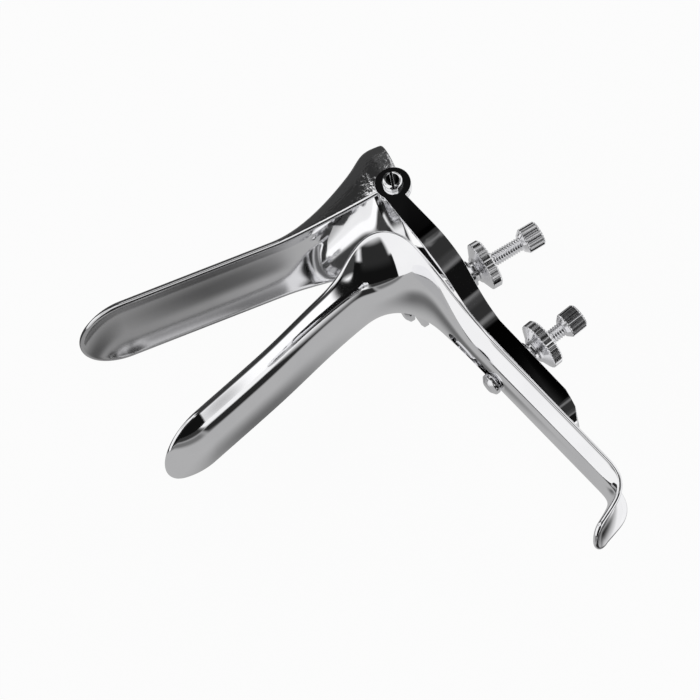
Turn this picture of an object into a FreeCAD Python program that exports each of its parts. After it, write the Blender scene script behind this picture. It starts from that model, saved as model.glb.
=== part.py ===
import FreeCAD, Part
import math
import os
import Sketcher
from FreeCAD import Placement, Rotation, Vector

# A bivalve speculum of polished steel, lying on its side.
# Z runs across the instrument, along the hinge axis. The blades point to -X and the handle to -Y.
# The origin is on the hinge axis, at the outer face of the far hinge rivet.

doc = FreeCAD.newDocument("bivalve_speculum")
sheet = doc.addObject("Spreadsheet::Sheet", "dims")

DIMENSIONS = [
    # Whole instrument
    ("mid_plane", 27.5),
    ("sheet_wall", 1.6),
    ("seat_plane", 6.5),
    ("running_gap", 0.05),
    ("slide_travel", 18.0),
    # Hinge
    ("hinge_half_span", 23.6),
    ("ear_radius", 5.2),
    ("hinge_shank_radius", 2.0),
    ("hinge_head_radius", 2.9),
    ("hinge_head_height", 2.2),
    ("hinge_slot_width", 0.8),
    ("hinge_slot_depth", 0.9),
    # Blades
    ("blade_length", 100.0),
    ("blade_half_width", 17.0),
    ("blade_depth", 6.6),
    ("blade_angle", 18.5),
    ("crown_depth", 24.0),
    ("crown_length", 32.0),
    ("crown_overhang", 3.0),
    # Lower blade, heel and handle
    ("lower_drop", 9.0),
    ("tip_drop", 4.6),
    ("middle_drop", 2.8),
    ("heel_lead", 9.0),
    ("heel_lead_drop", 0.4),
    ("rim_relief", 0.15),
    ("heel_radius", 13.0),
    ("heel_half_width", 21.0),
    ("handle_front", 12.8),
    ("handle_half_width", 9.4),
    ("handle_length", 106.0),
    ("slot_play", 0.2),
    ("neck_length", 20.0),
    ("foot_radius", 5.0),
    ("foot_reach", 13.0),
    ("foot_turn", 68.0),
    # Yoke
    ("yoke_back", 0.4),
    ("tongue_back", 1.2),
    ("tongue_length", 85.0),
    ("tongue_half_width", 8.6),
    ("tongue_toe", 9.0),
    ("tongue_toe_bend", 3.5),
    ("tongue_toe_lift", 1.2),
    ("arm_straight", 17.0),
    ("arm_foot", 47.0),
    ("arm_top", 2.0),
    ("arm_front", 4.4),
    ("arm_front_low", 5.4),
    ("arm_waist", 9.0),
    ("arm_seat", 24.0),
    ("arm_back_end", 30.0),
    ("shoulder_bulge", 1.2),
    ("shoulder_bulge_inside", 1.0),
    ("opening_web", 4.0),
    ("opening_half_toe", 4.0),
    ("seat_gap", 0.1),
    # Thumb screws
    ("screw_radius", 2.15),
    ("screw_head_radius", 3.3),
    ("screw_head_height", 2.4),
    ("nut_radius", 7.5),
    ("nut_length", 5.0),
    ("nut_cone_length", 1.9),
    ("nut_cone_drop", 3.4),
    ("nut_bevel", 0.6),
    ("collar_radius", 4.1),
    ("collar_length", 2.9),
    ("collar_neck_radius", 3.2),
    ("collar_washer", 1.6),
    ("cap_radius", 3.9),
    ("cap_length", 6.5),
    ("cap_cone_length", 1.3),
    ("cap_cone_drop", 1.2),
    ("cap_bevel", 0.5),
    ("knurl_depth", 0.35),
    ("nut_teeth", 40),
    ("cap_teeth", 26),
    # Lock screw, square through handle and yoke
    ("lock_drop", 57.0),
    ("lock_cap_place", 12.4),
    ("lock_head_gap", 0.2),
    # Opening screw, beside the far arm
    ("opening_offset", 31.0),
    ("opening_tilt", 8.0),
    ("pivot_reach", 5.6),
    ("pivot_drop", 8.5),
    ("lever_reach", 15.6),
    ("lever_gap", 0.7),
    ("opening_cap_place", 35.5),
    ("tab_half_width", 5.5),
    ("tab_reach", 6.0),
    ("tab_corner", 2.2),
    ("tab_hole_rise", 1.4),
    ("lever_root_front", 1.5),
    ("lever_root_drop", 3.5),
    ("lever_root_back", 2.5),
    ("lever_root_rise", 4.0),
    ("screw_hole_play", 0.45),
    ("swing_clearance", 1.25),
]

for row, (alias, value) in enumerate(DIMENSIONS, start=1):
    sheet.set("A%d" % row, alias)
    sheet.set("B%d" % row, str(value))
    sheet.setAlias("B%d" % row, alias)
doc.recompute()


def dim(alias):
    """The value that the sheet holds for one driving dimension."""
    return float(sheet.get(alias))


MID = dim("mid_plane")
WALL = dim("sheet_wall")
UP = Vector(0, 0, 1)
ACROSS = Vector(0, 1, 0)
REARWARD = Vector(1, 0, 0)
# A cut that goes right through a wall starts this far outside it and is this deep.
CLEAR = 3.0
THROUGH = "6"
# A shank that is driven into its hole has this much room about it.
TIGHT = 0.02
WHOLE_WIDTH = "dims.hinge_half_span * 3"


def new_body(label):
    """An empty body whose label names its file."""
    body = doc.addObject("PartDesign::Body", label)
    body.Label = label
    return body


def plane_of(body, role):
    """One of the body's own origin planes."""
    return [f for f in body.Origin.OriginFeatures if f.Role == role][0]


def new_sketch(body, name, place):
    """A sketch on the body's XY plane, moved and turned to where it is drawn."""
    sketch = body.newObject("Sketcher::SketchObject", name)
    sketch.AttachmentSupport = [(plane_of(body, "XY_Plane"), "")]
    sketch.MapMode = "FlatFace"
    sketch.AttachmentOffset = place
    return sketch


def facing(origin, x_direction, normal):
    """A placement whose local x and z axes point as given."""
    y_direction = normal.cross(x_direction)
    return Placement(origin, Rotation(x_direction, y_direction, normal, "ZXY"))


def closed_outline(sketch, points):
    """Straight sides through the points, joined end to end."""
    first = sketch.GeometryCount
    count = len(points)
    for i in range(count):
        start = points[i]
        end = points[(i + 1) % count]
        sketch.addGeometry(Part.LineSegment(Vector(*start, 0), Vector(*end, 0)), False)
    for i in range(count):
        here = first + i
        after = first + (i + 1) % count
        sketch.addConstraint(Sketcher.Constraint("Coincident", here, 2, after, 1))


def circle(sketch, centre, alias, extra=0.0):
    """A circle whose radius follows a dimension of the sheet."""
    radius = dim(alias) + extra
    index = sketch.addGeometry(Part.Circle(Vector(*centre, 0), UP, radius), False)
    sketch.addConstraint(Sketcher.Constraint("Radius", index, radius))
    number = sketch.ConstraintCount - 1
    sketch.setExpression("Constraints[%d]" % number, "dims.%s + %g" % (alias, extra))


def pad(body, sketch, length, name, both=False, back=False):
    """Material added along the sketch's normal."""
    feature = body.newObject("PartDesign::Pad", name)
    feature.Profile = sketch
    feature.setExpression("Length", length)
    feature.Midplane = both
    feature.Reversed = back
    return feature


def pocket(body, sketch, length, name, both=False, back=False):
    """Material taken away against the sketch's normal."""
    feature = body.newObject("PartDesign::Pocket", name)
    feature.Profile = sketch
    feature.setExpression("Length", length)
    feature.Midplane = both
    feature.Reversed = back
    return feature


def channel_section(body, name, bottom, lean, half_width, depth):
    """A crescent across a blade or handle: an outer and an inner arc joined by two rims.

    bottom is where the outer arc is deepest, and lean turns the open side from +Y towards +X.
    """
    angle = math.radians(lean)
    open_side = Vector(math.sin(angle), math.cos(angle), 0)
    along = UP.cross(open_side)
    sketch = new_sketch(body, name, facing(Vector(bottom[0], bottom[1], MID), UP, along))
    slope = 2 * math.atan2(depth, half_width)
    rim = WALL / math.sin(slope)
    outer = Part.Arc(Vector(-half_width, depth, 0), Vector(0, 0, 0), Vector(half_width, depth, 0))
    inner_width = half_width - rim
    inner = Part.Arc(Vector(-inner_width, depth, 0), Vector(0, WALL, 0), Vector(inner_width, depth, 0))
    sketch.addGeometry(outer, False)
    sketch.addGeometry(Part.LineSegment(Vector(half_width, depth, 0), Vector(inner_width, depth, 0)), False)
    sketch.addGeometry(inner, False)
    sketch.addGeometry(Part.LineSegment(Vector(-inner_width, depth, 0), Vector(-half_width, depth, 0)), False)
    return sketch


def loft(body, sketches, name):
    """A smooth skin through the sections."""
    feature = body.newObject("PartDesign::AdditiveLoft", name)
    feature.Profile = sketches[0]
    feature.Sections = sketches[1:]
    feature.Ruled = False
    return feature


# How the width and depth of a blade fall away over its last stretch, as shares of the full size:
# distance back from the end, half width, depth, lift of the bottom towards the rims.
TIP = [
    (0.0, 0.26, 0.30, 0.62),
    (1.3, 0.50, 0.52, 0.36),
    (4.0, 0.74, 0.78, 0.14),
    (9.0, 0.93, 0.95, 0.03),
    (17.0, 1.0, 1.0, 0.0),
]


def make_lower_blade():
    """Lower blade, heel, handle and foot, pressed from one sheet as a single channel."""
    body = new_body("lower_blade_and_handle")
    length = dim("blade_length")
    width = dim("blade_half_width")
    depth = dim("blade_depth")
    heel = dim("heel_radius")
    front = dim("handle_front")
    seat = dim("seat_plane")
    handle_width = dim("handle_half_width")
    heel_width = dim("heel_half_width")
    heel_x = -front - heel
    heel_y = -dim("lower_drop") - depth - heel
    stations = []
    for back, share, deep, lift in TIP:
        rise = depth * lift
        bottom = (-length + back, heel_y + heel - dim("tip_drop") + rise)
        stations.append((bottom, 22.0 * lift - 3.0, width * share, depth * deep))
    stations.append(((-length * 0.6, heel_y + heel - dim("middle_drop")), -3.5, width, depth))
    lead = (heel_x - dim("heel_lead"), heel_y + heel - dim("heel_lead_drop"))
    stations.append((lead, -2.0, width * 1.01, depth * 1.05))
    # Round the heel the rims rise first, then run level just below the plane that the yoke slides on.
    rim = seat + dim("rim_relief")
    for lean, share, deepening in ((0, 0.88, 1.25), (30, 0.96, 2.2), (50, 1.0, None), (60, 0.99, None),
                                   (70, 0.97, None)):
        angle = math.radians(lean)
        bottom = (heel_x + heel * math.sin(angle), heel_y + heel * math.cos(angle))
        deep = depth * deepening if deepening else (-rim - bottom[0]) / math.sin(angle)
        stations.append((bottom, lean, heel_width * share, deep))
    handle_depth = front - seat
    neck_top = heel_y - 1.0
    neck = dim("neck_length")
    for share, wide in ((0.0, 0.72), (0.33, 0.42), (0.66, 0.14), (1.0, 0.0)):
        half = handle_width + (heel_width - handle_width) * wide
        stations.append(((-front, neck_top - neck * share), 90, half, handle_depth))
    bend = dim("foot_radius")
    handle_end = -dim("handle_length")
    stations.append(((-front, (neck_top - neck + handle_end) / 2), 90, handle_width, handle_depth))
    stations.append(((-front, handle_end), 90, handle_width, handle_depth))
    turn = dim("foot_turn")
    reach = dim("foot_reach")
    for share in (0.5, 1.0):
        angle = math.radians(turn * share)
        bottom = (
            -front - bend * (1 - math.cos(angle)),
            handle_end - bend * math.sin(angle),
        )
        stations.append((bottom, 90 + turn * share, handle_width, handle_depth * (1 - 0.45 * share)))
    angle = math.radians(turn)
    ahead = Vector(-math.sin(angle), -math.cos(angle), 0)
    base = Vector(-front - bend * (1 - math.cos(angle)), handle_end - bend * math.sin(angle), 0)
    for share, half, deep in ((0.5, 0.97, 0.5), (0.85, 0.72, 0.38), (1.0, 0.36, 0.2)):
        tip = base + ahead * (reach * share)
        stations.append(((tip.x, tip.y), 90 + turn, handle_width * half, handle_depth * deep))
    sketches = [
        channel_section(body, "lower_section_%02d" % i, *station)
        for i, station in enumerate(stations)
    ]
    loft(body, sketches, "lower_channel")
    slot = new_sketch(body, "clamp_slot", facing(Vector(-front - CLEAR, 0, MID), ACROSS, REARWARD))
    half = dim("screw_radius") + dim("slot_play")
    low = -dim("lock_drop")
    high = low + dim("slide_travel")
    slot.addGeometry(Part.Arc(Vector(low, -half, 0), Vector(low - half, 0, 0), Vector(low, half, 0)), False)
    slot.addGeometry(Part.LineSegment(Vector(low, half, 0), Vector(high, half, 0)), False)
    slot.addGeometry(Part.Arc(Vector(high, half, 0), Vector(high + half, 0, 0), Vector(high, -half, 0)), False)
    slot.addGeometry(Part.LineSegment(Vector(high, -half, 0), Vector(low, -half, 0)), False)
    pocket(body, slot, THROUGH, "clamp_slot_cut", back=True)
    return body


def make_upper_blade():
    """Upper blade: a trough that flares into a crown, with two ears and the lever tab."""
    body = new_body("upper_blade")
    length = dim("blade_length") - 1.0
    width = dim("blade_half_width")
    depth = dim("blade_depth")
    crown = dim("crown_depth")
    start = dim("crown_length")
    half_span = dim("hinge_half_span") - 0.2
    stations = []
    for back, share, deep, lift in TIP:
        stations.append(((-length + back, depth * (1 - lift)), 180 - 22.0 * lift, width * share, depth * deep))
    stations.append(((-length * 0.6, depth), 180, width, depth))
    for share in (0.0, 0.33, 0.66, 1.0):
        ease = share ** 1.15
        place = -start + (start - 2.0) * share
        wide = width + (half_span - width) * ease
        deep = depth + (crown - depth) * ease
        stations.append(((place, deep), 180, wide, deep))
    stations.append(((dim("crown_overhang"), crown), 180, half_span, crown))
    sketches = [
        channel_section(body, "upper_section_%02d" % i, *station)
        for i, station in enumerate(stations)
    ]
    loft(body, sketches, "upper_channel")
    for side, place in (("near", MID + half_span), ("far", MID - half_span + WALL)):
        ear = new_sketch(body, "ear_" + side, Placement(Vector(0, 0, place), Rotation()))
        circle(ear, (0, 0), "ear_radius")
        pad(body, ear, "dims.sheet_wall", "ear_pad_" + side, back=True)
    # The lever leaves the far ear towards the back and turns outwards as a tab.
    tilt = math.radians(dim("opening_tilt"))
    drop = dim("pivot_drop") + dim("lever_reach") * math.tan(tilt)
    reach = dim("lever_reach") - dim("pivot_reach")
    turned = Rotation(UP, dim("blade_angle"))
    local = turned.multVec(Vector(reach, -drop, 0))
    normal = turned.multVec(Vector(math.cos(tilt), -math.sin(tilt), 0))
    side = UP.cross(normal)
    half = dim("tab_half_width")
    lever = new_sketch(
        body, "lever_outline", Placement(Vector(0, 0, MID - half_span + WALL), Rotation())
    )
    front_face = local - normal * (WALL / 2)
    back_face = local + normal * (WALL / 2)
    corners = [
        Vector(-dim("lever_root_front"), -dim("lever_root_drop"), 0),
        front_face - side * half,
        back_face - side * half,
        back_face + side * half,
        Vector(dim("lever_root_back"), dim("lever_root_rise"), 0),
    ]
    closed_outline(lever, [(c.x, c.y) for c in corners])
    pad(body, lever, "dims.sheet_wall", "lever_plate", back=True)
    tab = new_sketch(body, "tab_outline", facing(front_face, side, normal))
    low = MID - dim("opening_offset") - dim("tab_reach")
    high = MID - half_span + WALL
    edge = dim("tab_corner")
    closed_outline(tab, [(-half, high), (-half, low + edge), (-half + edge, low),
                         (half - edge, low), (half, low + edge), (half, high)])
    pad(body, tab, "dims.sheet_wall", "tab_pad")
    hole = new_sketch(body, "tab_hole", facing(local + normal * CLEAR, side, normal))
    play = dim("screw_radius") + dim("screw_hole_play")
    across = MID - dim("opening_offset")
    rise = dim("tab_hole_rise")
    hole.addGeometry(Part.Arc(Vector(-rise, across - play, 0), Vector(-rise - play, across, 0),
                              Vector(-rise, across + play, 0)), False)
    hole.addGeometry(Part.LineSegment(Vector(-rise, across + play, 0), Vector(rise, across + play, 0)), False)
    hole.addGeometry(Part.Arc(Vector(rise, across + play, 0), Vector(rise + play, across, 0),
                              Vector(rise, across - play, 0)), False)
    hole.addGeometry(Part.LineSegment(Vector(rise, across - play, 0), Vector(-rise, across - play, 0)), False)
    pocket(body, hole, THROUGH, "tab_hole_cut")
    bore = new_sketch(body, "hinge_bore", Placement(Vector(0, 0, MID), Rotation()))
    circle(bore, (0, 0), "hinge_shank_radius", dim("running_gap"))
    pocket(body, bore, WHOLE_WIDTH, "hinge_bore_cut", both=True)
    body.Placement = Placement(Vector(0, 0, 0), Rotation(UP, -dim("blade_angle")))
    return body


def yoke_outline(offset):
    """Half outlines of the yoke in height and side distance, offset inwards from the outer skin."""
    span = dim("hinge_half_span") + WALL - offset
    straight = -dim("arm_straight")
    foot = -dim("arm_foot")
    tongue = dim("tongue_half_width") - offset
    end = -dim("tongue_length") + offset
    return span, straight, foot, tongue, end


def yoke_wire(sketch, offset, top):
    """The U of the yoke seen from behind: two straight arms, two drawn-in shoulders and a tongue."""
    span, straight, foot, tongue, end = yoke_outline(offset)
    right = [
        Vector(top, span, 0),
        Vector(straight, span, 0),
    ]
    middle = (straight + foot) / 2
    bulge = (span + tongue) / 2 + dim("shoulder_bulge")
    shoulder = Part.BSplineCurve()
    shoulder.interpolate(
        [Vector(straight, span, 0), Vector(middle, bulge, 0), Vector(foot, tongue, 0)],
        InitialTangent=Vector(-1, 0, 0), FinalTangent=Vector(-1, -0.05, 0),
    )
    mirrored = Part.BSplineCurve()
    mirrored.interpolate(
        [Vector(foot, -tongue, 0), Vector(middle, -bulge, 0), Vector(straight, -span, 0)],
        InitialTangent=Vector(1, -0.05, 0), FinalTangent=Vector(1, 0, 0),
    )
    taper = tongue * 0.86
    close = end + taper
    sketch.addGeometry(Part.LineSegment(*right), False)
    sketch.addGeometry(shoulder, False)
    sketch.addGeometry(Part.LineSegment(Vector(foot, tongue, 0), Vector(close, taper, 0)), False)
    sketch.addGeometry(Part.Arc(Vector(close, taper, 0), Vector(end, 0, 0), Vector(close, -taper, 0)), False)
    sketch.addGeometry(Part.LineSegment(Vector(close, -taper, 0), Vector(foot, -tongue, 0)), False)
    sketch.addGeometry(mirrored, False)
    sketch.addGeometry(Part.LineSegment(Vector(straight, -span, 0), Vector(top, -span, 0)), False)
    sketch.addGeometry(Part.LineSegment(Vector(top, -span, 0), Vector(top, span, 0)), False)


def make_yoke():
    """The yoke: a drawn frame whose arms carry the hinge and whose tongue slides on the handle."""
    body = new_body("yoke")
    seat = -dim("seat_plane") + dim("seat_gap")
    back = dim("yoke_back")
    tongue_back = -dim("tongue_back")
    end = -dim("tongue_length")
    top = dim("arm_top")
    outline = new_sketch(body, "yoke_outline", facing(Vector(seat, 0, MID), ACROSS, REARWARD))
    yoke_wire(outline, 0.0, -top)
    pad(body, outline, "dims.seat_plane + 2 * dims.yoke_back", "yoke_blank")
    # Seen from the side, the frame thins from the arms to the tongue and its end turns forwards.
    profile = new_sketch(body, "side_waste", Placement(Vector(0, 0, MID), Rotation()))
    outside = back + 2 * CLEAR
    below = end - CLEAR
    closed_outline(profile, [
        (back, top), (back, -dim("arm_back_end")), (tongue_back, -dim("arm_foot")),
        (tongue_back, end + dim("tongue_toe")),
        (tongue_back - dim("tongue_toe_lift"), end + dim("tongue_toe_bend")),
        (seat + WALL, end), (seat + WALL, below), (outside, below), (outside, top),
    ])
    pocket(body, profile, WHOLE_WIDTH, "side_waste_cut", both=True)
    front = new_sketch(body, "front_waste", Placement(Vector(0, 0, MID), Rotation()))
    closed_outline(front, [
        (seat - CLEAR, top), (-dim("arm_front"), top), (-dim("arm_front_low"), -dim("arm_waist")),
        (seat, -dim("arm_seat")), (seat - CLEAR, -dim("arm_seat")),
    ])
    pocket(body, front, WHOLE_WIDTH, "front_waste_cut", both=True)
    inside = new_sketch(body, "frame_opening", facing(Vector(outside, 0, MID), ACROSS, REARWARD))
    span, straight, foot, tongue, _ = yoke_outline(WALL)
    low = foot + dim("opening_web")
    toe = dim("opening_half_toe")
    middle = (straight + foot) / 2
    bulge = (span + tongue) / 2 + dim("shoulder_bulge_inside")
    open_top = top + CLEAR
    inside.addGeometry(Part.LineSegment(Vector(open_top, span, 0), Vector(straight, span, 0)), False)
    right = Part.BSplineCurve()
    right.interpolate([Vector(straight, span, 0), Vector(middle, bulge, 0), Vector(low, toe, 0)],
                      InitialTangent=Vector(-1, 0, 0), FinalTangent=Vector(-0.3, -1, 0))
    left = Part.BSplineCurve()
    left.interpolate([Vector(low, -toe, 0), Vector(middle, -bulge, 0), Vector(straight, -span, 0)],
                     InitialTangent=Vector(0.3, -1, 0), FinalTangent=Vector(1, 0, 0))
    inside.addGeometry(right, False)
    inside.addGeometry(Part.LineSegment(Vector(low, toe, 0), Vector(low, -toe, 0)), False)
    inside.addGeometry(left, False)
    inside.addGeometry(Part.LineSegment(Vector(straight, -span, 0), Vector(open_top, -span, 0)), False)
    inside.addGeometry(Part.LineSegment(Vector(open_top, -span, 0), Vector(open_top, span, 0)), False)
    pocket(body, inside, "dims.seat_plane + 20", "frame_opening_cut")
    tray = new_sketch(body, "tongue_tray", facing(Vector(tongue_back - WALL, 0, MID), ACROSS, REARWARD))
    inner = dim("tongue_half_width") - WALL
    tray_end = end + inner + WALL
    tray.addGeometry(Part.LineSegment(Vector(foot, inner, 0), Vector(tray_end, inner * 0.84, 0)), False)
    tray.addGeometry(Part.Arc(Vector(tray_end, inner * 0.84, 0), Vector(end + WALL * 2, 0, 0),
                              Vector(tray_end, -inner * 0.84, 0)), False)
    tray.addGeometry(Part.LineSegment(Vector(tray_end, -inner * 0.84, 0), Vector(foot, -inner, 0)), False)
    tray.addGeometry(Part.LineSegment(Vector(foot, -inner, 0), Vector(foot, inner, 0)), False)
    pocket(body, tray, "dims.seat_plane + 6", "tongue_tray_cut")
    # Rounded ears round the hinge screws
    outer_face = dim("hinge_half_span") + WALL
    for side, place in (("near", MID + outer_face), ("far", MID - outer_face + WALL)):
        ear = new_sketch(body, "yoke_ear_" + side, Placement(Vector(0, 0, place), Rotation()))
        circle(ear, (0, 0), "ear_radius")
        pad(body, ear, "dims.sheet_wall", "yoke_ear_pad_" + side, back=True)
    # The lug beside the far arm carries the head of the opening screw.
    tilt = math.radians(dim("opening_tilt"))
    normal = Vector(math.cos(tilt), -math.sin(tilt), 0)
    side = UP.cross(normal)
    pivot = Vector(-dim("pivot_reach"), -dim("pivot_drop"), 0)
    lug = new_sketch(body, "lug_outline", facing(pivot - normal * (WALL / 2), side, normal))
    half = dim("tab_half_width")
    low_side = MID - dim("opening_offset") - dim("tab_reach")
    high_side = MID - dim("hinge_half_span") - WALL / 2
    edge = dim("tab_corner")
    closed_outline(lug, [(-half, high_side), (-half, low_side + edge), (-half + edge, low_side),
                         (half - edge, low_side), (half, low_side + edge), (half, high_side)])
    pad(body, lug, "dims.sheet_wall", "lug_pad")
    lug_hole = new_sketch(body, "lug_hole", facing(pivot + normal * CLEAR, side, normal))
    circle(lug_hole, (0, MID - dim("opening_offset")), "screw_radius", dim("screw_hole_play"))
    pocket(body, lug_hole, THROUGH, "lug_hole_cut")
    bore = new_sketch(body, "yoke_hinge_bore", Placement(Vector(0, 0, MID), Rotation()))
    circle(bore, (0, 0), "hinge_shank_radius", TIGHT)
    pocket(body, bore, WHOLE_WIDTH, "yoke_hinge_bore_cut", both=True)
    screw = new_sketch(body, "lock_bore", facing(Vector(outside, 0, MID), ACROSS, REARWARD))
    circle(screw, (-dim("lock_drop"), 0), "screw_radius", TIGHT)
    pocket(body, screw, "dims.seat_plane + 20", "lock_bore_cut")
    return body


SLOT_ANGLE = 60.0
HEAD_GAP = 0.1


def make_hinge_pin(label, sign):
    """A hinge pin with a low rounded head outside the yoke's ear; the near one is a slotted screw."""
    body = new_body(label)
    face = dim("hinge_half_span") + WALL
    shank = new_sketch(
        body, label + "_shank", Placement(Vector(0, 0, MID + sign * (face + HEAD_GAP)), Rotation())
    )
    circle(shank, (0, 0), "hinge_shank_radius")
    pad(body, shank, "dims.sheet_wall * 2 + 1.2", label + "_shank_pad", back=sign > 0)
    head = new_sketch(
        body, label + "_head", Placement(Vector(0, 0, MID + sign * (face + HEAD_GAP)), Rotation())
    )
    circle(head, (0, 0), "hinge_head_radius")
    head_pad = pad(body, head, "dims.hinge_head_height", label + "_head_pad", back=sign < 0)
    doc.recompute()
    top = MID + sign * (face + HEAD_GAP + dim("hinge_head_height"))
    rim = [
        "Edge%d" % (i + 1)
        for i, edge in enumerate(head_pad.Shape.Edges)
        if abs(edge.CenterOfMass.z - top) < 0.01 and edge.Curve.TypeId == "Part::GeomCircle"
    ]
    rounding = body.newObject("PartDesign::Fillet", label + "_rounding")
    rounding.Base = (head_pad, rim)
    rounding.setExpression("Radius", "dims.hinge_head_height * 0.45")
    if sign < 0:
        return body
    slot = new_sketch(body, label + "_slot", Placement(Vector(0, 0, top), Rotation(UP, SLOT_ANGLE)))
    half = dim("hinge_slot_width") / 2
    long = dim("hinge_head_radius") + 1
    closed_outline(slot, [(-long, -half), (long, -half), (long, half), (-long, half)])
    pocket(body, slot, "dims.hinge_slot_depth", label + "_slot_cut")
    return body


def screw_frame(kind):
    """Where a thumb screw lies: a point on its axis, its direction and the seat of its head."""
    if kind == "lock":
        point = Vector(-dim("handle_front"), -dim("lock_drop"), MID)
        return point, REARWARD, dim("lock_head_gap")
    tilt = math.radians(dim("opening_tilt"))
    axis = Vector(math.cos(tilt), -math.sin(tilt), 0)
    pivot = Vector(-dim("pivot_reach"), -dim("pivot_drop"), MID - dim("opening_offset"))
    return pivot, axis, WALL / 2 + dim("swing_clearance")


def along_screw(kind, distance):
    """A sketch plane square to a thumb screw, a distance along it."""
    point, axis, _ = screw_frame(kind)
    return facing(point + axis * distance, UP, axis)


def screw_end(kind):
    """How far along its axis a thumb screw's cap begins."""
    if kind == "lock":
        return dim("handle_front") + dim("lock_cap_place")
    return dim("opening_cap_place")


def collar_start(kind):
    """How far along its axis a thumb screw's collar begins, just behind what it bears on."""
    if kind == "lock":
        return dim("handle_front") - dim("tongue_back") + HEAD_GAP
    tilt = math.radians(dim("opening_tilt"))
    reach = dim("lever_reach") / math.cos(tilt)
    return reach + WALL / 2 + dim("lever_gap")


def make_bolt(kind):
    """The headed screw that a thumb nut runs on."""
    body = new_body(kind + "_bolt")
    point, axis, gap = screw_frame(kind)
    top = gap + dim("screw_head_height")
    head = new_sketch(body, kind + "_head", along_screw(kind, -gap))
    circle(head, (0, 0), "screw_head_radius")
    head_pad = pad(body, head, "dims.screw_head_height", kind + "_head_pad", back=True)
    if kind == "lock":
        doc.recompute()
        crown = [
            "Edge%d" % (i + 1)
            for i, edge in enumerate(head_pad.Shape.Edges)
            if edge.Curve.TypeId == "Part::GeomCircle"
            and (edge.CenterOfMass - along_screw(kind, -top).Base).Length < dim("running_gap")
        ]
        rounding = body.newObject("PartDesign::Fillet", kind + "_head_rounding")
        rounding.Base = (head_pad, crown)
        rounding.setExpression("Radius", "dims.screw_head_height * 0.6")
    else:
        rocker_face(body, point, axis, top)
    rod = new_sketch(body, kind + "_rod", along_screw(kind, -gap))
    circle(rod, (0, 0), "screw_radius")
    length = gap + screw_end(kind) + dim("cap_length") * 0.7
    pad(body, rod, "%g" % length, kind + "_rod_pad")
    return body


def rocker_face(body, pivot, axis, reach):
    """The outside of a rocking head, turned about the line across the screw that it swings on."""
    waste = new_sketch(body, "rocker_waste", facing(pivot, -axis, UP))
    wide = math.radians(60)
    outside = reach + CLEAR
    corners = [
        Vector(radius * math.cos(wide), side * radius * math.sin(wide), 0)
        for radius in (reach, outside) for side in (-1, 1)
    ]
    waste.addGeometry(Part.Arc(corners[0], Vector(reach, 0, 0), corners[1]), False)
    waste.addGeometry(Part.LineSegment(corners[1], corners[3]), False)
    waste.addGeometry(Part.Arc(corners[3], Vector(outside, 0, 0), corners[2]), False)
    waste.addGeometry(Part.LineSegment(corners[2], corners[0]), False)
    pocket(body, waste, "dims.screw_head_radius * 4", "rocker_waste_cut", both=True)


def knurled_outline(sketch, radius, teeth):
    """A toothed circle: every tooth is one peak and one valley."""
    points = []
    for i in range(int(2 * teeth)):
        angle = math.pi * i / teeth
        reach = radius if i % 2 == 0 else radius - dim("knurl_depth")
        points.append((reach * math.cos(angle), reach * math.sin(angle)))
    closed_outline(sketch, points)


def make_knurled(kind, part, start, bore_play, bore_depth):
    """A straight-knurled drum on a thumb screw, with a cone in front and a bevel behind."""
    name = kind + "_" + part
    body = new_body(name)
    radius = dim(part + "_radius")
    length = dim(part + "_length")
    blank = new_sketch(body, name + "_blank", along_screw(kind, start))
    knurled_outline(blank, radius, dim(part + "_teeth"))
    pad(body, blank, "dims.%s_length" % part, name + "_drum")
    point, axis, _ = screw_frame(kind)
    turning = new_sketch(body, name + "_turning", facing(point + axis * start, axis, axis.cross(UP)))
    cone = dim(part + "_cone_length")
    front = radius - dim(part + "_cone_drop")
    bevel = dim(part + "_bevel")
    outside = radius + bevel
    closed_outline(turning, [(-bevel, front), (0, front), (cone, radius), (cone, outside), (-bevel, outside)])
    closed_outline(turning, [
        (length + bevel, radius - bevel), (length, radius - bevel), (length - bevel, radius),
        (length - bevel, outside), (length + bevel, outside),
    ])
    groove = body.newObject("PartDesign::Groove", name + "_turned")
    groove.Profile = turning
    groove.ReferenceAxis = (turning, ["H_Axis"])
    groove.Angle = 360
    inner = new_sketch(body, name + "_bore", along_screw(kind, start - 1))
    circle(inner, (0, 0), "screw_radius", bore_play)
    pocket(body, inner, bore_depth, name + "_bore_cut", back=True)
    return body


def make_collar(kind):
    """The collar between a thumb nut and what it presses on: a washer and a narrower neck."""
    body = new_body(kind + "_collar")
    for name, radius, length in (
        ("_neck", "collar_neck_radius", "dims.collar_length"),
        ("_washer", "collar_radius", "dims.collar_washer"),
    ):
        ring = new_sketch(body, kind + name, along_screw(kind, collar_start(kind)))
        circle(ring, (0, 0), radius)
        circle(ring, (0, 0), "screw_radius", dim("running_gap"))
        pad(body, ring, length, kind + name + "_pad")
    return body


bodies = [make_lower_blade(), make_upper_blade(), make_yoke()]
bodies.append(make_hinge_pin("hinge_screw_near", 1))
bodies.append(make_hinge_pin("hinge_rivet_far", -1))
for kind in ("lock", "opening"):
    bodies.append(make_bolt(kind))
    bodies.append(make_collar(kind))
    nut_start = collar_start(kind) + dim("collar_length") + dim("running_gap")
    bodies.append(make_knurled(kind, "nut", nut_start, dim("running_gap"), "dims.nut_length + 2"))
    bodies.append(make_knurled(kind, "cap", screw_end(kind), TIGHT, "dims.cap_length * 0.7 + 1.05"))
doc.recompute()

faults = [o.Name for o in doc.Objects if "Invalid" in o.State or "Error" in o.State]
faults += [b.Label for b in bodies if b.Shape.isNull() or not b.Shape.isValid()]
if faults:
    raise RuntimeError("failed: " + ", ".join(faults))

os.makedirs("parts", exist_ok=True)
for body in bodies:
    body.Shape.exportStep("parts/%s.step" % body.Label)
    print(body.Label, len(body.Shape.Solids), round(body.Shape.Volume, 1), body.Shape.BoundBox)
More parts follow.
